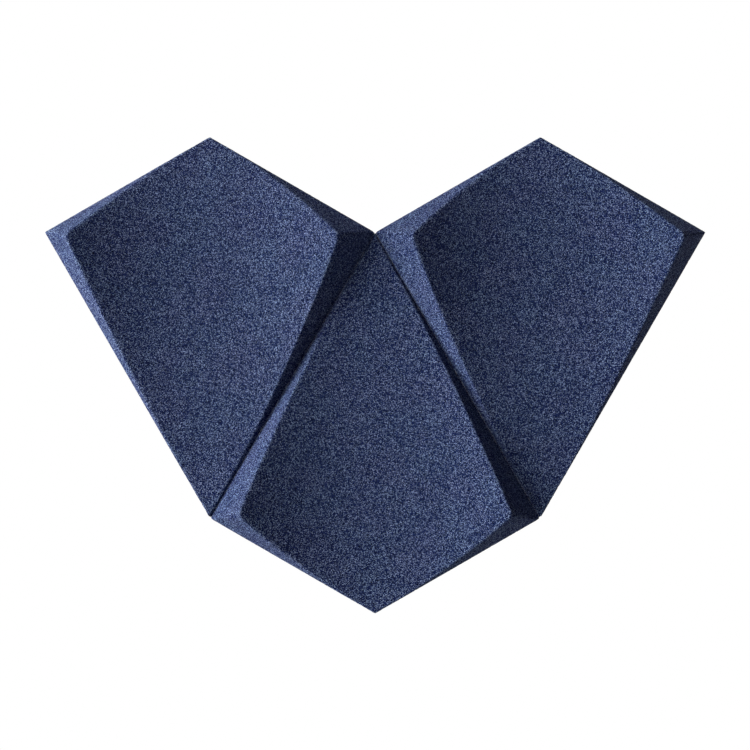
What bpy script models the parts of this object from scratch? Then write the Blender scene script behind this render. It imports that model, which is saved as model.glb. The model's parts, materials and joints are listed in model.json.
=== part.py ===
# Three kite-shaped tiles of moulded cork, set edge to edge on a wall, on their adhesive pads.
#
# World frame, as seen from the room: X runs right, Z runs up, Y runs into the wall.
# The wall is the plane Y = 0. The pads stand on it, and the cork stands on the pads.
# The origin is the middle of the lower tile's centre pad, where it meets the wall.
#
# Every tile comes out of one mould. Two short edges meet at a blunt corner, the crown, and two
# long edges at a sharp corner, the tail. The other two corners, the wings, are raised peaks.
# The lower tile is the same tile turned half round, so that its long edges meet its neighbours'.

import math

import bmesh
import bpy
from mathutils import Matrix, Vector

# Outline of a tile
TILE_WIDTH = 0.3300          # from wing to wing
CROWN_HEIGHT = 0.0953        # from the line between the wings to the crown, a 120 degree corner
TAIL_HEIGHT = 0.2858         # from the same line to the tail, a 60 degree corner

# Relief of a tile, measured from its flat back
RIM_DEPTH = 0.0070           # straight edge all round, where tiles butt together
PEAK_DEPTH = 0.0500          # the two raised wings, before their ridges are rounded
FACET_WIDTH = 0.0248         # width of the steep facets below a peak, seen from the front
TROUGH_POWER = 2.25          # how the hollow face climbs to the peaks: 2 would be a parabola
RUN_OUT = 0.0002             # the hollow's floor lies this much below the rim, at crown and tail
SIDE_STRIPS = 20             # strips that the hollow is divided into on each side of its axis

# Softened edges, as widths of the faces that they take away
RIDGE_ROUND = 0.0072         # between two facets at a peak, from where it narrows to nothing at the rim
RIDGE_SEGMENTS = 8
ARRIS_ROUND = 0.0020         # between the hollow face and the facets
RIM_ROUND = 0.0010           # between the facets and the straight edge
ROUND_SEGMENTS = 3
ROUND_SHARE = 0.35           # most of a narrowing facet that the rounding of one edge may take
LEAST_ROUND = 0.0004         # an edge that has no room for more than this stays crisp

# Adhesive pads, five on each tile
PAD_LENGTH = 0.0600
PAD_WIDTH = 0.0250
PAD_THICKNESS = 0.0010
PAD_CORNER = 0.0030          # radius of a pad's corners
PAD_CORNER_SEGMENTS = 4
PAD_MARGIN = 0.0140          # least distance from an outer pad to the edge of its tile

# Clearances between pieces that touch
TILE_GAP = 0.0003
PAD_GAP = 0.0003

# Workshop values that leave no mark on the piece
CUTTER_MARGIN = 0.0100       # how far the blank and the cutter run past the finished form
SAME_PLACE = 0.00002         # two points closer than this are the same
HOLLOW_CLOSENESS = 0.0002    # a face whose points all lie this near the hollow's profile is part of it
LEVEL = 0.01                 # a face whose normal has less Y than this stands square to the wall

# Colours, as linear red, green and blue
CORK_NAVY = (0.044, 0.058, 0.125, 1.0)
PAD_WHITE = (0.78, 0.77, 0.73, 1.0)
CORK_ROUGHNESS = 0.95
PAD_ROUGHNESS = 0.60

CORK_BACK = PAD_THICKNESS + PAD_GAP     # distance from the wall to the back of the cork


def clear_scene():
    """Remove what the start-up file holds."""
    for item in list(bpy.data.objects):
        bpy.data.objects.remove(item, do_unlink=True)


def new_collection(name):
    """Make a collection and link it to the scene."""
    group = bpy.data.collections.new(name)
    bpy.context.scene.collection.children.link(group)
    return group


def new_material(name, colour, roughness):
    """Make a Principled BSDF material of one plain colour."""
    material = bpy.data.materials.new(name)
    material.use_nodes = True
    shader = material.node_tree.nodes["Principled BSDF"]
    shader.inputs["Base Color"].default_value = colour
    shader.inputs["Roughness"].default_value = roughness
    shader.inputs["Metallic"].default_value = 0.0
    material.diffuse_color = colour
    return material


def new_mesh(name, shape):
    """Turn a bmesh into mesh data whose faces all point out."""
    bmesh.ops.recalc_face_normals(shape, faces=shape.faces)
    mesh = bpy.data.meshes.new(name)
    shape.to_mesh(mesh)
    shape.free()
    return mesh


def new_object(name, mesh, group):
    """Put mesh data into a collection as a named object."""
    item = bpy.data.objects.new(name, mesh)
    group.objects.link(item)
    return item


# The kite, in its own plane


def kite_corners():
    """Corners about the kite's centroid: crown, right wing, tail, left wing."""
    centroid = (CROWN_HEIGHT - TAIL_HEIGHT) / 3
    half = TILE_WIDTH / 2
    crown = Vector((0, CROWN_HEIGHT - centroid))
    right = Vector((half, -centroid))
    tail = Vector((0, -TAIL_HEIGHT - centroid))
    left = Vector((-half, -centroid))
    return [crown, right, tail, left]


def incircle():
    """Centre and radius of the circle that touches the kite's four edges.

    Facets of one slope on all four edges would meet in a point above this centre, so an outline
    that shrinks towards it stays the same distance from every edge.
    """
    crown, right, tail, _left = kite_corners()
    short_edge = (crown - right).length
    long_edge = (tail - right).length
    centre = crown.lerp(tail, short_edge / (short_edge + long_edge))
    radius = TILE_WIDTH * (CROWN_HEIGHT + TAIL_HEIGHT) / 2 / (short_edge + long_edge)
    return centre, radius


def edge_lines():
    """Each edge of the kite as a point on it and its inward normal."""
    corners = kite_corners()
    lines = []
    for index, start in enumerate(corners):
        end = corners[(index + 1) % len(corners)]
        along = (end - start).normalized()
        lines.append((start, Vector((along.y, -along.x))))
    return lines


# Relief of the mould


def facet_slope():
    """Rise of a facet for each metre across it."""
    return (PEAK_DEPTH - RIM_DEPTH) / FACET_WIDTH


def peak_offset():
    """Distance of a peak from the tile's axis: its ridge runs along the corner's bisector."""
    _centre, radius = incircle()
    return TILE_WIDTH / 2 * (1 - FACET_WIDTH / radius)


def hollow_depth(x):
    """Depth of the hollow face at a distance x from the tile's axis."""
    floor = RIM_DEPTH - RUN_OUT
    return floor + (PEAK_DEPTH - floor) * (abs(x) / peak_offset()) ** TROUGH_POWER


def hollow_stations():
    """Distances from the axis where the hollow's profile has a point, from left to right."""
    one_side = [peak_offset() * step / SIDE_STRIPS for step in range(1, SIDE_STRIPS + 1)]
    return [-x for x in reversed(one_side)] + [0.0] + one_side


def extrude_face(shape, face, rise):
    """Extrude one face towards the room and return the new face."""
    raised = bmesh.ops.extrude_face_region(shape, geom=[face])["geom"]
    top = next(item for item in raised if isinstance(item, bmesh.types.BMFace))
    bmesh.ops.translate(shape, verts=top.verts, vec=(0, -rise, 0))
    return top


def round_ridge(shape, corner, width):
    """Round the ridge above a corner as a cone that comes to a point at the rim.

    The bevel is as wide at the rim as at the far end, so its near end is drawn together again.
    """
    point = Vector((corner.x, -RIM_DEPTH, corner.y))
    foot = min(shape.verts, key=lambda vert: (vert.co - point).length)
    ridge = min(foot.link_edges, key=lambda edge: edge.other_vert(foot).co.y)
    far = ridge.other_vert(foot).co.copy()
    made = bmesh.ops.bevel(shape, geom=[ridge], offset=width, offset_type="OFFSET", affect="EDGES",
                           segments=RIDGE_SEGMENTS, profile=0.5, material=-1)["verts"]
    near_end = [vert for vert in made if (vert.co - point).length < (vert.co - far).length]
    bmesh.ops.pointmerge(shape, verts=near_end, merge_co=point)


def make_blank():
    """The kite raised to its rim, then drawn in to its four facets, its wings' ridges rounded."""
    centre, radius = incircle()
    shape = bmesh.new()
    back = shape.faces.new([shape.verts.new((corner.x, 0, corner.y)) for corner in kite_corners()])
    rim = extrude_face(shape, back, RIM_DEPTH)
    facet_rise = PEAK_DEPTH + CUTTER_MARGIN - RIM_DEPTH
    top = extrude_face(shape, rim, facet_rise)
    bmesh.ops.delete(shape, geom=[rim], context="FACES_ONLY")
    shrink = 1 - facet_rise / facet_slope() / radius
    about = Matrix.Translation((-centre.x, 0, -centre.y))
    bmesh.ops.scale(shape, verts=top.verts, vec=(shrink, 1, shrink), space=about)
    _crown, right, _tail, left = kite_corners()
    for wing in (right, left):
        round_ridge(shape, wing, RIDGE_ROUND * facet_rise / (PEAK_DEPTH - RIM_DEPTH))
    return new_mesh("tile_blank", shape)


def make_hollow_cutter():
    """Everything in front of the hollow face, as one profile drawn along the tile's axis."""
    reach = TILE_WIDTH / 2 + CUTTER_MARGIN
    stations = [-reach] + hollow_stations() + [reach]
    top = hollow_depth(reach) + CUTTER_MARGIN
    profile = [(x, hollow_depth(x)) for x in stations] + [(reach, top), (-reach, top)]
    crown, _right, tail, _left = kite_corners()
    start = tail.y - CUTTER_MARGIN
    length = crown.y + CUTTER_MARGIN - start
    shape = bmesh.new()
    face = shape.faces.new([shape.verts.new((x, -depth, start)) for x, depth in profile])
    drawn = bmesh.ops.extrude_face_region(shape, geom=[face])["geom"]
    far_end = [item for item in drawn if isinstance(item, bmesh.types.BMVert)]
    bmesh.ops.translate(shape, verts=far_end, vec=(0, 0, length))
    return new_mesh("hollow_cutter", shape)


def cut_blank(group, cutters):
    """Cut the hollow out of the blank and return the result as new mesh data."""
    blank = new_object("tile_blank", make_blank(), group)
    cutter = new_object("hollow_cutter", make_hollow_cutter(), cutters)
    cutter.hide_render = True
    cutter.display_type = "WIRE"
    cut = blank.modifiers.new("hollow", "BOOLEAN")
    cut.operation = "DIFFERENCE"
    cut.solver = "EXACT"
    cut.object = cutter
    depsgraph = bpy.context.evaluated_depsgraph_get()
    mesh = bpy.data.meshes.new_from_object(blank.evaluated_get(depsgraph))
    mesh.name = "cork_tile"
    bpy.data.objects.remove(blank, do_unlink=True)
    return mesh


def face_kind(face):
    """Which part of the tile a face belongs to."""
    if abs(face.normal.y) < LEVEL:
        return "edge"
    if face.normal.y > 0:
        return "back"
    depths = [-vert.co.y - hollow_depth(vert.co.x) for vert in face.verts]
    if max(abs(depth) for depth in depths) < HOLLOW_CLOSENESS:
        return "hollow"
    return "facet"


def split_facets(shape):
    """Divide the facets at the hollow's stations, so that their rounding can fade in steps."""
    for x in hollow_stations():
        faces = [face for face in shape.faces if face_kind(face) == "facet"]
        edges = {edge for face in faces for edge in face.edges}
        verts = {vert for face in faces for vert in face.verts}
        pieces = faces + list(edges) + list(verts)
        bmesh.ops.bisect_plane(shape, geom=pieces, dist=SAME_PLACE, plane_co=(x, 0, 0), plane_no=(1, 0, 0))


def rounding(edge):
    """Width of the rounding along an edge of the cut blank, or 0 for a crisp edge."""
    kinds = {face_kind(face) for face in edge.link_faces}
    middle = (edge.verts[0].co + edge.verts[1].co) / 2
    facet_here = (hollow_depth(middle.x) - RIM_DEPTH) / facet_slope()
    room = facet_here * ROUND_SHARE
    if room < LEAST_ROUND:
        return 0.0
    if kinds == {"hollow", "facet"}:
        return min(ARRIS_ROUND, room)
    if kinds == {"facet", "edge"}:
        return min(RIM_ROUND, room)
    return 0.0


def make_tile_mesh(group, cutters):
    """One finished tile about its centroid, with its edge roundings stored as bevel weights."""
    mesh = cut_blank(group, cutters)
    shape = bmesh.new()
    shape.from_mesh(mesh)
    bmesh.ops.remove_doubles(shape, verts=shape.verts, dist=SAME_PLACE)
    split_facets(shape)
    shape.normal_update()
    weights = shape.edges.layers.float.new("bevel_weight_edge")
    for edge in shape.edges:
        edge[weights] = rounding(edge) / ARRIS_ROUND
    shape.to_mesh(mesh)
    shape.free()
    mesh.materials.clear()
    mesh.materials.append(new_material("dyed_cork", CORK_NAVY, CORK_ROUGHNESS))
    return mesh


def add_rounding(tile):
    """Round the weighted edges of a tile."""
    bevel = tile.modifiers.new("soft edges", "BEVEL")
    bevel.limit_method = "WEIGHT"
    bevel.offset_type = "OFFSET"
    bevel.width = ARRIS_ROUND
    bevel.segments = ROUND_SEGMENTS
    bevel.use_clamp_overlap = False
    bevel.loop_slide = True


# Adhesive pads


def make_pad_mesh():
    """A thin pad with round corners, standing on the wall, its long side along X."""
    shape = bmesh.new()
    bmesh.ops.create_cube(shape, size=1.0)
    bmesh.ops.scale(shape, verts=shape.verts, vec=(PAD_LENGTH, PAD_THICKNESS, PAD_WIDTH))
    bmesh.ops.translate(shape, verts=shape.verts, vec=(0, -PAD_THICKNESS / 2, 0))
    across = [edge for edge in shape.edges if abs(edge.verts[0].co.y - edge.verts[1].co.y) > SAME_PLACE]
    bmesh.ops.bevel(shape, geom=across, offset=PAD_CORNER, offset_type="OFFSET", affect="EDGES",
                    segments=PAD_CORNER_SEGMENTS, profile=0.5, material=-1)
    mesh = new_mesh("adhesive_pad", shape)
    mesh.materials.append(new_material("pad_foam", PAD_WHITE, PAD_ROUGHNESS))
    return mesh


def pad_place(toward, upright):
    """Centre of an outer pad: as far towards a corner as PAD_MARGIN allows."""
    length, width = (PAD_WIDTH, PAD_LENGTH) if upright else (PAD_LENGTH, PAD_WIDTH)
    pad_corners = [Vector((sx * length / 2, sz * width / 2)) for sx in (-1, 1) for sz in (-1, 1)]
    direction = toward.normalized()
    reaches = []
    for start, inward in edge_lines():
        closing = -inward.dot(direction)
        if closing <= 0:
            continue
        for corner in pad_corners:
            room = inward.dot(corner - start) - PAD_MARGIN
            reaches.append(room / closing)
    return direction * min(reaches)


def pad_layout():
    """Name, centre and direction of each pad on a tile that has its crown up."""
    crown, right, tail, left = kite_corners()
    return [
        ("centre", Vector((0, 0)), False),
        ("crown", pad_place(crown, True), True),
        ("tail", pad_place(tail, True), True),
        ("right_wing", pad_place(right, True), True),
        ("left_wing", pad_place(left, True), True),
    ]


# Assembly


def tile_places():
    """Name, centroid and half turn of each tile.

    The lower tile's centroid is at the origin. A neighbour's tail meets one of its wings, and the
    neighbour's inner wing meets its tail. The gap opens square to the long edge that they share.
    """
    _crown, right, tail, _left = kite_corners()
    along = (right - tail).normalized()
    gap = Vector((-along.y, along.x)) * TILE_GAP
    lower_left_wing = Vector((-right.x, -right.y))
    left_centre = lower_left_wing - tail + gap
    right_centre = Vector((-left_centre.x, left_centre.y))
    return [
        ("left_tile", left_centre, False),
        ("lower_tile", Vector((0, 0)), True),
        ("right_tile", right_centre, False),
    ]


def wall_matrix(centre, turn, depth):
    """Place for a piece turned about the wall's normal, its back a given depth in front of the wall."""
    return Matrix.Translation((centre.x, -depth, centre.y)) @ Matrix.Rotation(turn, 4, "Y")


def build():
    """Make every piece in its place."""
    clear_scene()
    panel = new_collection("cork_wall_panel")
    cutters = new_collection("cutters")
    tile_mesh = make_tile_mesh(panel, cutters)
    pad_mesh = make_pad_mesh()
    for name, centre, turned in tile_places():
        turn = math.pi if turned else 0.0
        tile = new_object(name, tile_mesh, panel)
        tile.matrix_world = wall_matrix(centre, turn, CORK_BACK)
        add_rounding(tile)
        for pad_name, offset, upright in pad_layout():
            pad = new_object(f"{name}_pad_{pad_name}", pad_mesh, panel)
            pad_centre = centre + (-offset if turned else offset)
            pad_turn = math.pi / 2 if upright else 0.0
            pad.matrix_world = wall_matrix(pad_centre, pad_turn, 0.0)


build()
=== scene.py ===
# %% [markdown]
# # A wall of moulded cork
#
# Three kite-shaped tiles of pressed cork stick to a wall edge to edge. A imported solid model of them
# exists already, with every tile and every adhesive pad in its real place and at its real size.
# This lesson dresses that model. It gives the cork its granules, in the mesh and in the colour, it
# gives the pads their foam, and it lights the relief from one side, so that the hollow faces show.
#
# Lengths are in metres. X runs right and Z up, as seen from the room, and Y runs into the wall.

# %% Load the solid model
import json
import math

import bmesh
import bpy
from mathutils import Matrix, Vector, noise
from mathutils.bvhtree import BVHTree


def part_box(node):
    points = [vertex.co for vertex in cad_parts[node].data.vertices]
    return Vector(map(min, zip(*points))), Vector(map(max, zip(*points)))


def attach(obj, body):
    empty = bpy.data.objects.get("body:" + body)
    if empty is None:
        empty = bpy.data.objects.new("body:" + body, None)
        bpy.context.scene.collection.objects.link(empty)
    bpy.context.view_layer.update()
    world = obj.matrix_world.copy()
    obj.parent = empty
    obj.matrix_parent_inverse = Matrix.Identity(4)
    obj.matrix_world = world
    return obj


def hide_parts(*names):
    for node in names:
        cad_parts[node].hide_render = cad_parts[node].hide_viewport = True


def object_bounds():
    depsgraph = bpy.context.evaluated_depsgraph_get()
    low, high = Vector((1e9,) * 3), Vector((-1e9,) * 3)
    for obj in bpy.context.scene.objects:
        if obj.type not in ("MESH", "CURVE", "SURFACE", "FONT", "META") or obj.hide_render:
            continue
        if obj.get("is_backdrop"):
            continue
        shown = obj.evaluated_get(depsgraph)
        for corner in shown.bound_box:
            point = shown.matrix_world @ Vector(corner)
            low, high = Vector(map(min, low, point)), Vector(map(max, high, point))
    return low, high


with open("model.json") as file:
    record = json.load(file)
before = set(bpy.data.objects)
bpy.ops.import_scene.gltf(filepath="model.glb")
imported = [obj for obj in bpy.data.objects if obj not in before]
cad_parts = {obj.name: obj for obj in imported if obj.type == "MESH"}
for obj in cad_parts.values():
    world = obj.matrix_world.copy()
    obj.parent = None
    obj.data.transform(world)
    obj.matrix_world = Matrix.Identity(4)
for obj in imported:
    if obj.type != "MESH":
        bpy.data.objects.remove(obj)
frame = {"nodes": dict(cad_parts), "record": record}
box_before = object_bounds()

NODES = sorted(frame["nodes"])
TILES = [name for name in NODES if name.endswith("_tile")]
PADS = [name for name in NODES if "_pad_" in name]
print("tiles:", TILES)
print("pads:", len(PADS))
print("box in mm:", [round(1000 * value, 1) for corner in box_before for value in corner])

# %% [markdown]
# ## Finding where things are
#
# The record of the solid model says which plane is the wall. Two more planes are read from the
# solids: the back of the cork is the highest Y that a tile reaches, and the peaks are the lowest.
# Little is typed in twice, so this script stays true to the solids if their sizes change. The one
# size that it repeats is the depth of the straight edge round a tile.

# %% Planes of the panel
WALL_Y = next(m["pos_m"][1] for m in frame["record"]["mounts"] if m["name"] == "wall_face")
CORK_BACK_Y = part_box(TILES[0])[1].y
PEAK_Y = min(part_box(name)[0].y for name in TILES)
print("wall, back of the cork, peaks, Y in mm:", [round(1000 * y, 2) for y in (WALL_Y, CORK_BACK_Y, PEAK_Y)])

# %% [markdown]
# ## A net fine enough for granules
#
# The solid tile has about a thousand triangles, far too few to carry the roughness of pressed cork. A
# Subdivision Surface would pull its crisp arrises round. A voxel Remesh keeps them, and it covers
# hollow, facets and edges with squares of one size, which is what an even roughness needs. The loose
# triangles of the solid are merged first, because a remesh needs a closed skin.

# %% Helpers for tile meshes
SAME_POINT = 0.00001         # points nearer than this are one point
CUT_CLOSENESS = 0.000001     # a point this near a cutting plane lies on it


def loose_object(name, mesh):
    """An object for mesh data, linked to the scene."""
    item = bpy.data.objects.new(name, mesh)
    bpy.context.scene.collection.objects.link(item)
    return item


def merged_copy(node, name):
    """A copy of a solid's mesh, with its loose triangles joined."""
    shape = bmesh.new()
    shape.from_mesh(frame["nodes"][node].data)
    bmesh.ops.remove_doubles(shape, verts=shape.verts, dist=SAME_POINT)
    mesh = bpy.data.meshes.new(name)
    shape.to_mesh(mesh)
    shape.free()
    return loose_object(name, mesh)


def applied(item):
    """Replace an object's mesh by what its modifiers make of it."""
    depsgraph = bpy.context.evaluated_depsgraph_get()
    made = bpy.data.meshes.new_from_object(item.evaluated_get(depsgraph))
    item.modifiers.clear()
    item.data = made
    made.name = item.name
    return item


depsgraph = bpy.context.evaluated_depsgraph_get()
solids = {node: BVHTree.FromObject(frame["nodes"][node], depsgraph) for node in TILES}
cork = {node: merged_copy(node, node + "_cork") for node in TILES}
print("corners in a tile's solid:", [len(tile.data.vertices) for tile in cork.values()])

# %% [markdown]
# ## Edges eased along the joints
#
# Where two tiles meet, the photograph shows a dark line far wider than a crack, right up to the sharp
# corners. Easing both edges gives such a line: the tiles part in a narrow V. One cut by a plane makes
# such a bevel: `bisect_plane` drops what lies outside the plane, and the hole that it leaves is flat,
# so one new face closes it. The plane is steeper than the facets. Towards the peaks it therefore runs
# into the facet and fades out by itself, and the arris up there stays where it is.

# %% Ease the joint edges
RIM_DEPTH = 0.007            # of the straight edge round a tile, from the back of the cork
EASE_WIDTH = 0.0019          # of the bevel, seen from the front
EASE_DEPTH = 0.0036
JOINT_REACH = 0.0005         # another tile nearer than this is across a joint


def long_edges(mesh):
    """The two long edges of a tile at its back, each from the tail to a wing."""
    back = [vert.co.copy() for vert in mesh.vertices if abs(vert.co.y - CORK_BACK_Y) < SAME_POINT]
    wings = [min(back, key=lambda point: point.x), max(back, key=lambda point: point.x)]
    ends = [min(back, key=lambda point: point.z), max(back, key=lambda point: point.z)]
    tail = max(ends, key=lambda end: (end - wings[0]).length)
    return [(tail, wing) for wing in wings]


def ease(tile, start, outward):
    """Bevel one edge of a tile with the cut of a plane."""
    shape = bmesh.new()
    shape.from_mesh(tile.data)
    everything = shape.verts[:] + shape.edges[:] + shape.faces[:]
    foot = Vector((start.x, CORK_BACK_Y - RIM_DEPTH + EASE_DEPTH, start.z))
    lean = outward * EASE_DEPTH - Vector((0, EASE_WIDTH, 0))
    bmesh.ops.bisect_plane(shape, geom=everything, plane_co=foot, plane_no=lean, dist=CUT_CLOSENESS,
                           clear_outer=True)
    open_edges = [edge for edge in shape.edges if edge.is_boundary]
    bmesh.ops.holes_fill(shape, edges=open_edges, sides=0)
    bmesh.ops.recalc_face_normals(shape, faces=shape.faces)
    shape.to_mesh(tile.data)
    shape.free()
    return len(open_edges)


for node, tile in cork.items():
    middle = sum(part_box(node), Vector()) / 2
    for tail, wing in long_edges(tile.data):
        along = (wing - tail).normalized()
        outward = Vector((along.z, 0, -along.x))
        if outward.dot(middle - tail) > 0:
            outward.negate()
        halfway = (tail + wing) / 2 - Vector((0, EASE_DEPTH / 2, 0))
        if any(solids[other].ray_cast(halfway, outward, JOINT_REACH)[0] for other in TILES if other != node):
            print(node, "eased, edges round the cut:", ease(tile, tail, outward))

# %% Remesh the tiles
NET = 0.00110                # side of a square of the net


def netted(tile):
    """Remesh a tile into small squares."""
    net = tile.modifiers.new("net", "REMESH")
    net.mode = "VOXEL"
    net.voxel_size = NET
    net.adaptivity = 0.0
    return applied(tile)


for tile in cork.values():
    netted(tile)
print("squares in a tile's net:", [len(tile.data.polygons) for tile in cork.values()])

# %% [markdown]
# ## Which walls meet another tile
#
# Along the two joints the cork of one tile presses against the next, so those narrow walls are not
# rough and stand a hair closer than in the solid model. A ray cast outwards from a vertex says whether
# its wall is one of them: it hits another tile within half a millimetre.

# %% Find the joint walls
JOINT_CLOSING = 0.0001       # how far each side of a joint moves towards the other
WALL_LEAN = 0.7              # a wall's normal has less Y than this


def joint_walls(tile, others):
    """Indexes of the vertices that face another tile across a joint."""
    found = set()
    for vert in tile.data.vertices:
        if abs(vert.normal.y) < WALL_LEAN:
            if any(other.ray_cast(vert.co, vert.normal, JOINT_REACH)[0] for other in others):
                found.add(vert.index)
    return found


at_joint = {}
for node, tile in cork.items():
    at_joint[node] = joint_walls(tile, [solids[other] for other in TILES if other != node])
print("vertices on joint walls:", {node: len(found) for node, found in at_joint.items()})

# %% [markdown]
# ## Where the arrises are
#
# Cork crumbles first where two faces meet. The angle between neighbouring faces of the net is nought
# on a face and large on an arris, so the mean angle round a vertex is a measure of how exposed it is.
# It is kept as an attribute of the mesh: the next step crumbles the cork by it, and the material
# later lightens the dye by it.

# %% Measure the arrises
ARRIS_ANGLE = math.radians(16)    # a mean angle that counts as a full arris


def measure_arrises(tile):
    """Give a tile the attribute arris, from 0 on a face to 1 on an outward edge."""
    shape = bmesh.new()
    shape.from_mesh(tile.data)
    shape.normal_update()
    shape.verts.ensure_lookup_table()
    sharp = []
    for vert in shape.verts:
        angles = [edge.calc_face_angle_signed(0.0) for edge in vert.link_edges]
        sharp.append(min(1.0, max(0.0, sum(angles) / len(angles) / ARRIS_ANGLE)))
    spread = []
    for vert in shape.verts:
        near = [sharp[edge.other_vert(vert).index] for edge in vert.link_edges]
        spread.append(max(sharp[vert.index], sum(near) / len(near)))
    shape.free()
    arris = tile.data.attributes.new("arris", "FLOAT", "POINT")
    arris.data.foreach_set("value", spread)
    return sum(1 for value in spread if value > 0.5)


print("vertices on an arris:", [measure_arrises(tile) for tile in cork.values()])

# %% [markdown]
# ## Granules in the mesh
#
# Pressed cork is a pavement of granules, and the larger ones, up to two millimetres, show as relief.
# Each lies a little higher or lower than its neighbours, and some have left a pit. `noise.voronoi`
# gives the distances from a point to the nearest cell centres, so the difference of the first two is
# small between two granules and large inside one. Apart from the joint walls, vertices only sink, so
# that no tile grows past its solid.

# %% Press the granules in
GRANULE = 0.0017             # usual width of a granule that shows in the relief
SEAM_DEPTH = 0.00009         # groove between two granules
SEAM_SHARPNESS = 3           # a higher number makes the groove narrower
LOT_SCATTER = 7.3            # spreads the granules' centres, so that neighbours draw unlike lots
STEP_DEPTH = 0.00016         # how much lower than its neighbours a granule may lie
PIT_DEPTH = 0.00045          # where a granule has come away
PIT_SHARE = 0.03
CRUMB_DEPTH = 0.00050        # granules lost along an arris
WAVE = 0.016                 # width of the slow unevenness that pressing leaves
WAVE_DEPTH = 0.00012
BACK_SHARE = 0.4             # the back is pressed against a flat plate, so it is smoother
BACK_LEAN = 0.9
WALL_SHARE = 0.4             # and so are the narrow walls round a tile


def sink(point, exposed):
    """How far the cork's surface lies below the smooth form at a point."""
    distances, centres = noise.voronoi(point / GRANULE)
    seam = max(0.0, 1 - (distances[1] - distances[0]) * SEAM_SHARPNESS)
    lot = abs(noise.cell(centres[0] * LOT_SCATTER)) % 1.0
    depth = SEAM_DEPTH * seam + STEP_DEPTH * lot
    if lot > 1 - PIT_SHARE:
        depth += PIT_DEPTH * (1 - seam)
    depth += CRUMB_DEPTH * exposed * lot * lot
    return depth + WAVE_DEPTH * (0.5 + 0.5 * noise.noise(point / WAVE))


def roughen(tile, pattern, smooth_walls):
    """Sink the vertices of a tile's net along their normals. Joint walls move out by a hair instead."""
    mesh = tile.data
    exposed = mesh.attributes["arris"].data
    normals = [vert.normal.copy() for vert in mesh.vertices]
    for vert, normal in zip(mesh.vertices, normals):
        if vert.index in smooth_walls:
            vert.co += normal * JOINT_CLOSING
            continue
        share = 1.0
        if normal.y > BACK_LEAN:
            share = BACK_SHARE
        elif normal.y > -WALL_LEAN / 2:
            share = WALL_SHARE
        vert.co -= normal * sink(vert.co + pattern, exposed[vert.index].value) * share
    mesh.update()


PATTERN_STEP = Vector((3.1, 1.7, 2.3))    # from one tile's pattern to the next
PATTERN = {node: PATTERN_STEP * index for index, node in enumerate(TILES)}
for node, tile in cork.items():
    roughen(tile, PATTERN[node], at_joint[node])
print("deepest pit in mm:", round(1000 * (SEAM_DEPTH + STEP_DEPTH + PIT_DEPTH + WAVE_DEPTH), 2))

# %% [markdown]
# ## A lighter back
#
# The back is nearly flat and is seldom seen, so it doesn't need squares as small as the front's. A
# Decimate modifier that only works on a vertex group thins the back and leaves the front alone.

# %% Thin the back
BACK_TRIANGLES_KEPT = 0.10
BACK_SKIN = 0.0008           # how deep the back's vertices lie after roughening
BACK_WEIGHT = 10.0           # how strongly the thinning keeps to the back


def thin_back(tile):
    """Decimate the back of a tile."""
    mesh = tile.data
    group = tile.vertex_groups.new(name="back")
    on_back = [vert.index for vert in mesh.vertices if vert.co.y > CORK_BACK_Y - BACK_SKIN]
    group.add(on_back, 1.0, "REPLACE")
    share = len(on_back) / len(mesh.vertices)
    thin = tile.modifiers.new("thin back", "DECIMATE")
    thin.vertex_group = "back"
    thin.vertex_group_factor = BACK_WEIGHT
    thin.ratio = 1 - share * (1 - BACK_TRIANGLES_KEPT)
    applied(tile)
    tile.vertex_groups.clear()


for tile in cork.values():
    thin_back(tile)
    tile.data.shade_smooth()
    tile.data.calc_loop_triangles()
print("triangles in a tile:", [len(tile.data.loop_triangles) for tile in cork.values()])

# %% [markdown]
# ## Helpers for node groups
#
# A pattern that materials share is a node group, built once, with named inputs and outputs. The
# helpers below each add one thing to a tree of nodes, such as a sum, a mix or a texture, so that the
# group and the materials read as short recipes.

# %% Node helpers


def socket(group, name, kind, direction):
    """Add a socket to a node group's interface."""
    group.interface.new_socket(name=name, in_out=direction, socket_type=kind)


def add(tree, kind, **settings):
    """Add a node and set its properties."""
    node = tree.nodes.new(kind)
    for name, value in settings.items():
        setattr(node, name, value)
    return node


def join(tree, value, target):
    """Feed an input from a socket, or set it to a plain value."""
    if isinstance(value, bpy.types.NodeSocket):
        tree.links.new(value, target)
    else:
        target.default_value = value


def maths(tree, operation, *values):
    """Add a Math node and return its result."""
    node = add(tree, "ShaderNodeMath", operation=operation)
    for value, target in zip(values, node.inputs):
        join(tree, value, target)
    return node.outputs[0]


def fade(tree, value, low, high):
    """A smooth step from 0 at low to 1 at high."""
    node = add(tree, "ShaderNodeMapRange", interpolation_type="SMOOTHSTEP")
    for part, name in ((value, "Value"), (low, "From Min"), (high, "From Max")):
        join(tree, part, node.inputs[name])
    return node.outputs[0]


def blend(tree, share, first, second, mode="MIX"):
    """Mix two colours."""
    node = add(tree, "ShaderNodeMix", data_type="RGBA", blend_type=mode)
    for part, target in ((share, node.inputs[0]), (first, node.inputs[6]), (second, node.inputs[7])):
        join(tree, part, target)
    return node.outputs[2]


def voronoi(tree, vector, scale, feature):
    """Add a Voronoi texture of cells."""
    node = add(tree, "ShaderNodeTexVoronoi", voronoi_dimensions="3D", feature=feature)
    join(tree, vector, node.inputs["Vector"])
    join(tree, scale, node.inputs["Scale"])
    return node


def cloud(tree, vector, scale, detail):
    """Add a Noise texture and return its value."""
    node = add(tree, "ShaderNodeTexNoise", noise_dimensions="3D")
    join(tree, vector, node.inputs["Vector"])
    join(tree, scale, node.inputs["Scale"])
    node.inputs["Detail"].default_value = detail
    return node.outputs["Fac"]


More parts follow.
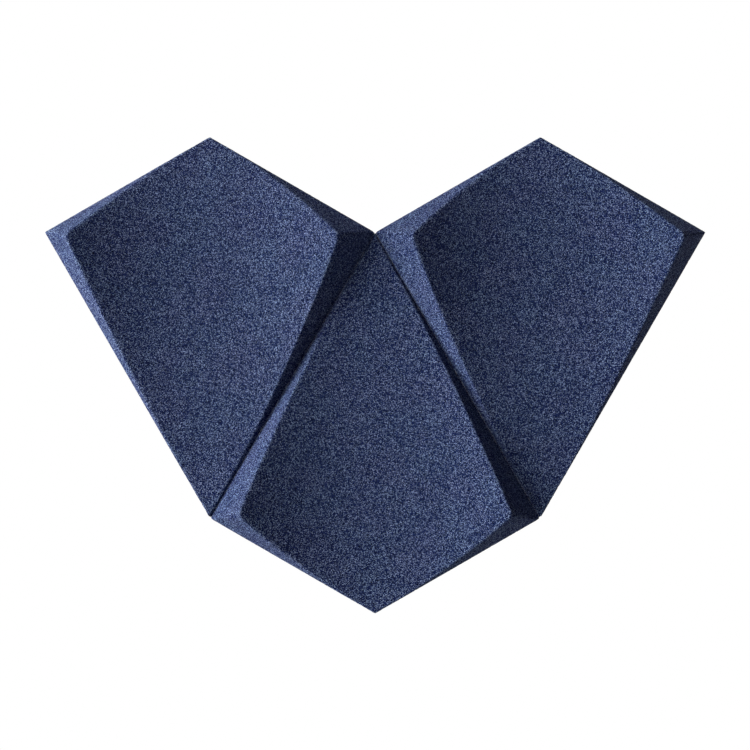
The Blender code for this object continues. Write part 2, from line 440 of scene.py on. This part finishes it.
def roughened(tree, height, shader, strength, distance):
    """Feed a shader the normals of a fine relief."""
    bump = add(tree, "ShaderNodeBump")
    bump.inputs["Strength"].default_value = strength
    bump.inputs["Distance"].default_value = distance
    join(tree, height, bump.inputs["Height"])
    join(tree, bump.outputs["Normal"], shader.inputs["Normal"])


def plain_material(name):
    """A new material, with its node tree and its shader."""
    material = bpy.data.materials.new(name)
    material.use_nodes = True
    return material, material.node_tree, material.node_tree.nodes["Principled BSDF"]


print("helpers ready")

# %% [markdown]
# ## The colour of dyed cork
#
# Close up, the cork isn't one blue. Dye soaks into some granules and only stains others, and the seams
# between them are nearly black. The granules of the colour are finer than those of the relief, about
# 0.6 mm, because the specks in the photograph are hardly a pixel wide. One Voronoi texture gives each
# granule its own random tone, a finer one breaks the granules into crumbs, and a third finds the
# seams. Two smooth steps turn the tone into dark, middle and light dye. A slow cloud drifts the hue,
# because no batch of granules is mixed evenly.

# %% Node group for granules
CRUMB_FINENESS = 1.9         # crumbs to a granule, along a line
GRANULE_SHARE = 0.85         # of the tone that a granule sets; its crumbs set the rest
RUBBED_LIFT = 0.05           # how much lighter the tone is on an arris
DARK_TO_MIDDLE = (0.10, 0.52)
MIDDLE_TO_LIGHT = (0.64, 0.98)
SEAM_TO_GRANULE = (-0.02, 0.06)
DRIFTS_PER_METRE = 26.0
DRIFT_RANGE = (0.3, 0.7)
GREENER = (0.97, 1.01, 1.00, 1)
REDDER = (1.03, 0.99, 1.00, 1)
DOME_LOT = 0.8               # how much a granule's height varies, as a share of its seam's depth
CRUMB_LOT = 0.5              # and how much its crumbs' heights do


def granule_group():
    """Colour and height of dyed cork granules."""
    group = bpy.data.node_groups.new("cork granules", "ShaderNodeTree")
    socket(group, "Vector", "NodeSocketVector", "INPUT")
    socket(group, "Granules per metre", "NodeSocketFloat", "INPUT")
    socket(group, "Rubbed", "NodeSocketFloat", "INPUT")
    socket(group, "Dark", "NodeSocketColor", "INPUT")
    socket(group, "Middle", "NodeSocketColor", "INPUT")
    socket(group, "Light", "NodeSocketColor", "INPUT")
    socket(group, "Color", "NodeSocketColor", "OUTPUT")
    socket(group, "Height", "NodeSocketFloat", "OUTPUT")
    inside = add(group, "NodeGroupInput").outputs
    outside = add(group, "NodeGroupOutput").inputs
    place, scale = inside["Vector"], inside["Granules per metre"]

    cells = voronoi(group, place, scale, "F1")
    crumbs = voronoi(group, place, maths(group, "MULTIPLY", scale, CRUMB_FINENESS), "F1")
    edges = voronoi(group, place, scale, "DISTANCE_TO_EDGE")
    lots = add(group, "ShaderNodeSeparateColor")
    join(group, cells.outputs["Color"], lots.inputs["Color"])
    bits = add(group, "ShaderNodeSeparateColor")
    join(group, crumbs.outputs["Color"], bits.inputs["Color"])

    coarse = maths(group, "MULTIPLY", lots.outputs[0], GRANULE_SHARE)
    tone = maths(group, "MULTIPLY_ADD", bits.outputs[0], 1 - GRANULE_SHARE, coarse)
    tone = maths(group, "MULTIPLY_ADD", inside["Rubbed"], RUBBED_LIFT, tone)
    seam = fade(group, edges.outputs["Distance"], *SEAM_TO_GRANULE)
    dyed = blend(group, fade(group, tone, *DARK_TO_MIDDLE), inside["Dark"], inside["Middle"])
    dyed = blend(group, fade(group, tone, *MIDDLE_TO_LIGHT), dyed, inside["Light"])
    dyed = blend(group, seam, inside["Dark"], dyed)

    drift = cloud(group, place, DRIFTS_PER_METRE, detail=1.0)
    tint = blend(group, fade(group, drift, *DRIFT_RANGE), GREENER, REDDER)
    join(group, blend(group, 1.0, dyed, tint, "MULTIPLY"), outside["Color"])
    dome = maths(group, "MULTIPLY_ADD", lots.outputs[1], DOME_LOT, seam)
    join(group, maths(group, "MULTIPLY_ADD", bits.outputs[1], CRUMB_LOT, dome), outside["Height"])
    return group


GRANULES = granule_group()
print("sockets:", [item.name for item in GRANULES.interface.items_tree])

# %% [markdown]
# ## The cork material
#
# Cork is matt: its cell walls scatter light every way, and only a weak, wide gloss is left. The
# `Diffuse Roughness` of the Principled shader gives the flatter falloff of such a surface. The fine
# part of the relief, finer than the net, comes from a Bump node fed by the same granules as the
# colour. Each tile has a pattern of its own, moved by a Mapping node, so that no granule runs on
# across a joint.

# %% Cork materials
NAVY_DARK = (0.0005, 0.0010, 0.0070, 1)
NAVY_MIDDLE = (0.008, 0.018, 0.094, 1)
NAVY_LIGHT = (0.345, 0.450, 0.690, 1)
GRANULES_PER_METRE = 1700
CORK_ROUGHNESS = 0.82
CORK_GLOSS = 0.08            # the shader's own scale, on which 0.5 is an ordinary polished surface


def cork_material(name, pattern):
    """Dyed cork for one tile."""
    material, tree, shader = plain_material(name)
    shader.inputs["Roughness"].default_value = CORK_ROUGHNESS
    shader.inputs["Diffuse Roughness"].default_value = 1.0
    shader.inputs["Specular IOR Level"].default_value = CORK_GLOSS
    place = add(tree, "ShaderNodeTexCoord")
    shift = add(tree, "ShaderNodeMapping")
    shift.inputs["Location"].default_value = pattern
    join(tree, place.outputs["Object"], shift.inputs["Vector"])
    rubbed = add(tree, "ShaderNodeAttribute", attribute_name="arris")
    granules = add(tree, "ShaderNodeGroup", node_tree=GRANULES)
    join(tree, shift.outputs["Vector"], granules.inputs["Vector"])
    join(tree, rubbed.outputs["Fac"], granules.inputs["Rubbed"])
    granules.inputs["Granules per metre"].default_value = GRANULES_PER_METRE
    granules.inputs["Dark"].default_value = NAVY_DARK
    granules.inputs["Middle"].default_value = NAVY_MIDDLE
    granules.inputs["Light"].default_value = NAVY_LIGHT
    join(tree, granules.outputs["Color"], shader.inputs["Base Color"])
    roughened(tree, granules.outputs["Height"], shader, strength=0.5, distance=0.0005)
    return material


for node, tile in cork.items():
    tile.data.materials.clear()
    tile.data.materials.append(cork_material("dyed cork of " + node, PATTERN[node]))
    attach(tile, "root")
    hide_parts(node)
print("cork materials:", [tile.data.materials[0].name for tile in cork.values()])

# %% [markdown]
# ## Adhesive pads
#
# Each pad is a piece of double-sided tape: a core of white foam between two clear films of adhesive.
# Only its edge and the face towards the wall can be seen. Two cuts part the films from the core, and
# the core's middle swells out a little, as foam does between two surfaces that press it.

# %% Foam pads
CORE, FILMS = 0, 1           # a pad's two materials, in this order
FILM = 0.00012               # thickness of a film of adhesive
SWELL = 0.00025
# grey for the middle of each foam cell: painted shade in the hollow, since the foam itself is white
FOAM_CELL_PAINTED_SHADE = (0.50, 0.49, 0.46, 1)
FOAM_WHITE = (0.80, 0.79, 0.76, 1)
FOAM_CELLS_PER_METRE = 3800.0
FOAM_CELL_TO_WALL = (0.2, 0.7)
ADHESIVE_DULL = (0.70, 0.68, 0.60, 1)
ADHESIVE_PALE = (0.80, 0.79, 0.74, 1)
SMEARS_PER_METRE = 320.0
SMEAR_RANGE = (0.35, 0.65)
ADHESIVE_ROUGHNESS = 0.12    # at its smoothest
SMEAR_ROUGHER = 0.35         # how much more a smear may add


def cut_across(shape, height):
    """Add a ring of edges round a pad at one Y."""
    everything = shape.verts[:] + shape.edges[:] + shape.faces[:]
    bmesh.ops.bisect_plane(shape, geom=everything, plane_co=(0, height, 0), plane_no=(0, 1, 0),
                           dist=CUT_CLOSENESS)


def foam_pad(node):
    """A pad with a swollen core and two films."""
    pad = merged_copy(node, node + "_tape")
    low, high = (corner.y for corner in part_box(node))
    middle = (low + high) / 2
    shape = bmesh.new()
    shape.from_mesh(pad.data)
    for height in (low + FILM, middle, high - FILM):
        cut_across(shape, height)
    shape.normal_update()
    core = [vert for vert in shape.verts if abs(vert.co.y - middle) < SAME_POINT]
    outwards = {vert: Vector((vert.normal.x, 0, vert.normal.z)).normalized() for vert in core}
    for vert, way in outwards.items():
        vert.co += way * SWELL
    for face in shape.faces:
        face.material_index = FILMS if abs(face.normal.y) > BACK_LEAN else CORE
    shape.to_mesh(pad.data)
    shape.free()
    pad.data.shade_smooth()
    for face in pad.data.polygons:
        if face.material_index == FILMS:
            face.use_smooth = False
    return pad


def foam_material():
    """White foam with small open cells, with painted shade in the hollow of each cell."""
    material, tree, shader = plain_material("pad foam")
    shader.inputs["Roughness"].default_value = 0.9
    place = add(tree, "ShaderNodeTexCoord").outputs["Object"]
    cells = voronoi(tree, place, FOAM_CELLS_PER_METRE, "F1")
    # the cells' middles, which the bump below sinks, take the grey: painted shade in each hollow
    wall = fade(tree, cells.outputs["Distance"], *FOAM_CELL_TO_WALL)
    join(tree, blend(tree, wall, FOAM_CELL_PAINTED_SHADE, FOAM_WHITE), shader.inputs["Base Color"])
    roughened(tree, wall, shader, strength=0.7, distance=0.0001)
    return material


def adhesive_material():
    """A clear sticky film over white foam."""
    material, tree, shader = plain_material("pad adhesive")
    place = add(tree, "ShaderNodeTexCoord").outputs["Object"]
    wet = cloud(tree, place, SMEARS_PER_METRE, detail=3.0)
    colour = blend(tree, fade(tree, wet, *SMEAR_RANGE), ADHESIVE_DULL, ADHESIVE_PALE)
    join(tree, colour, shader.inputs["Base Color"])
    rough = maths(tree, "MULTIPLY_ADD", wet, SMEAR_ROUGHER, ADHESIVE_ROUGHNESS)
    join(tree, rough, shader.inputs["Roughness"])
    roughened(tree, wet, shader, strength=0.35, distance=0.0002)
    return material


FOAM = foam_material()
ADHESIVE = adhesive_material()
for node in PADS:
    pad = foam_pad(node)
    pad.data.materials.clear()
    pad.data.materials.append(FOAM)
    pad.data.materials.append(ADHESIVE)
    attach(pad, "root")
    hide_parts(node)
print("pads of tape:", len(PADS), "each of", len(pad.data.polygons), "faces")

# %% [markdown]
# ## A floor far below
#
# The panel hangs at eye height, so the floor is well under it. It is pale and plain. The camera sees
# it as nearly white, through Is Camera Ray, but no extra light comes from it, and a shadow that falls
# on it still shows. It ends before the part of the room that the main view looks into.

# %% Floor
FLOOR_Z = -1.30
FLOOR_HALF_WIDTH = 2.0
FLOOR_GLOW = 0.75
FLOOR_PAINT = (0.82, 0.82, 0.81, 1)


def floor_material():
    """A pale floor that looks nearly white."""
    material, tree, shader = plain_material("pale floor")
    shader.inputs["Base Color"].default_value = FLOOR_PAINT
    shader.inputs["Roughness"].default_value = 0.9
    shader.inputs["Emission Strength"].default_value = 1.0
    path = add(tree, "ShaderNodeLightPath")
    glow = blend(tree, path.outputs["Is Camera Ray"], (0, 0, 0, 1), (FLOOR_GLOW, FLOOR_GLOW, FLOOR_GLOW, 1))
    join(tree, glow, shader.inputs["Emission Color"])
    return material


floor_mesh = bpy.data.meshes.new("floor")
shape = bmesh.new()
bmesh.ops.create_grid(shape, x_segments=1, y_segments=1, size=FLOOR_HALF_WIDTH)
bmesh.ops.translate(shape, verts=shape.verts, vec=(0, 0, FLOOR_Z))
shape.to_mesh(floor_mesh)
shape.free()
floor = loose_object("floor", floor_mesh)
floor.data.materials.append(floor_material())
floor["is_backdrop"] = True
print("floor at Z in m:", FLOOR_Z)

# %% [markdown]
# ## The camera
#
# The photograph looks straight at the panel from under a metre away: the peaks spread outwards from
# the rims by a few pixels more than a distant camera would show. The scale at the rims gives the
# distance and the lens together.

# %% Camera
MM_PER_PIXEL = 0.99835       # at the rims' plane
FRAME_PIXELS = 750
MIDDLE_PIXEL = FRAME_PIXELS / 2
ORIGIN_PIXEL = (375.14, 454.88)    # where X and Z are nought
EYE_DISTANCE = 0.935         # from the rims' plane
SENSOR = 36.0

camera_data = bpy.data.cameras.new("camera")
camera = loose_object("camera", camera_data)
bpy.context.scene.camera = camera
camera_data.sensor_width = SENSOR
camera_data.lens = SENSOR * EYE_DISTANCE * 1000 / MM_PER_PIXEL / FRAME_PIXELS
camera.location = (
    (MIDDLE_PIXEL - ORIGIN_PIXEL[0]) * MM_PER_PIXEL / 1000,
    CORK_BACK_Y - RIM_DEPTH - EYE_DISTANCE,
    (ORIGIN_PIXEL[1] - MIDDLE_PIXEL) * MM_PER_PIXEL / 1000,
)
camera.rotation_euler = (math.radians(90), 0, 0)
print("lens in mm:", round(camera_data.lens, 2))

# %% [markdown]
# ## The light
#
# The relief reads because the light comes from one side. A large soft lamp stands at the left, a
# little above, and only some 28 degrees out from the wall: the facets that face it are bright, the
# hollows shade slowly across, and the facets turned away stay nearly black. A second soft lamp stands
# behind the plane of the wall. It never reaches the front, and shows the back of the panel.

# %% Lamps
MIDDLE = Vector((0, -0.02, 0.08))


def lamp(name, distance, height_angle, wall_angle, side, power):
    """A square soft lamp at the left. Its angles are up from level and out from the wall."""
    data = bpy.data.lights.new(name, "AREA")
    data.shape = "SQUARE"
    data.size = side
    data.energy = power
    item = loose_object(name, data)
    up, out = math.radians(height_angle), math.radians(wall_angle)
    way = Vector((-math.cos(up) * math.cos(out), -math.sin(out), math.sin(up) * math.cos(out)))
    item.location = MIDDLE + way * distance
    item.rotation_euler = way.to_track_quat("Z", "Y").to_euler()
    return item


window = lamp("window", distance=1.45, height_angle=10, wall_angle=28, side=1.58, power=67)
behind = lamp("behind", distance=1.9, height_angle=35, wall_angle=-70, side=1.2, power=22)
for item in (window, behind):
    print(item.name, "at:", [round(value, 2) for value in item.location])

# %% [markdown]
# ## The surroundings
#
# The world is white to the camera, and to reflections and clear materials, so that the background
# matches the photograph. To everything else it is a dim room, which fills the shadows only a little.

# %% World
ROOM = 0.02
ROOM_TINT = (1.0, 0.84, 0.70, 1)

world = bpy.data.worlds.new("studio")
bpy.context.scene.world = world
world.use_nodes = True
tree = world.node_tree
path = add(tree, "ShaderNodeLightPath")
seen = maths(tree, "MAXIMUM", path.outputs["Is Camera Ray"], path.outputs["Is Transmission Ray"])
seen = maths(tree, "MAXIMUM", seen, path.outputs["Is Glossy Ray"])
strength = add(tree, "ShaderNodeMapRange")
join(tree, seen, strength.inputs["Value"])
strength.inputs["To Min"].default_value = ROOM
strength.inputs["To Max"].default_value = 1.0
background = tree.nodes["Background"]
join(tree, blend(tree, seen, ROOM_TINT, (1, 1, 1, 1)), background.inputs["Color"])
join(tree, strength.outputs[0], background.inputs["Strength"])
bpy.context.scene.view_settings.view_transform = "Standard"
print("room strength:", ROOM)

# %% [markdown]
# ## Checking the size
#
# The dressed panel must stay inside the box of the solid model. The last cell prints how far it reaches past
# that box along each axis, in millimetres.

# %% Size
box_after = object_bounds()
growth = [max(0.0, box_before[0][i] - box_after[0][i], box_after[1][i] - box_before[1][i]) for i in range(3)]
print("growth past the solid box in mm:", [round(1000 * value, 3) for value in growth])
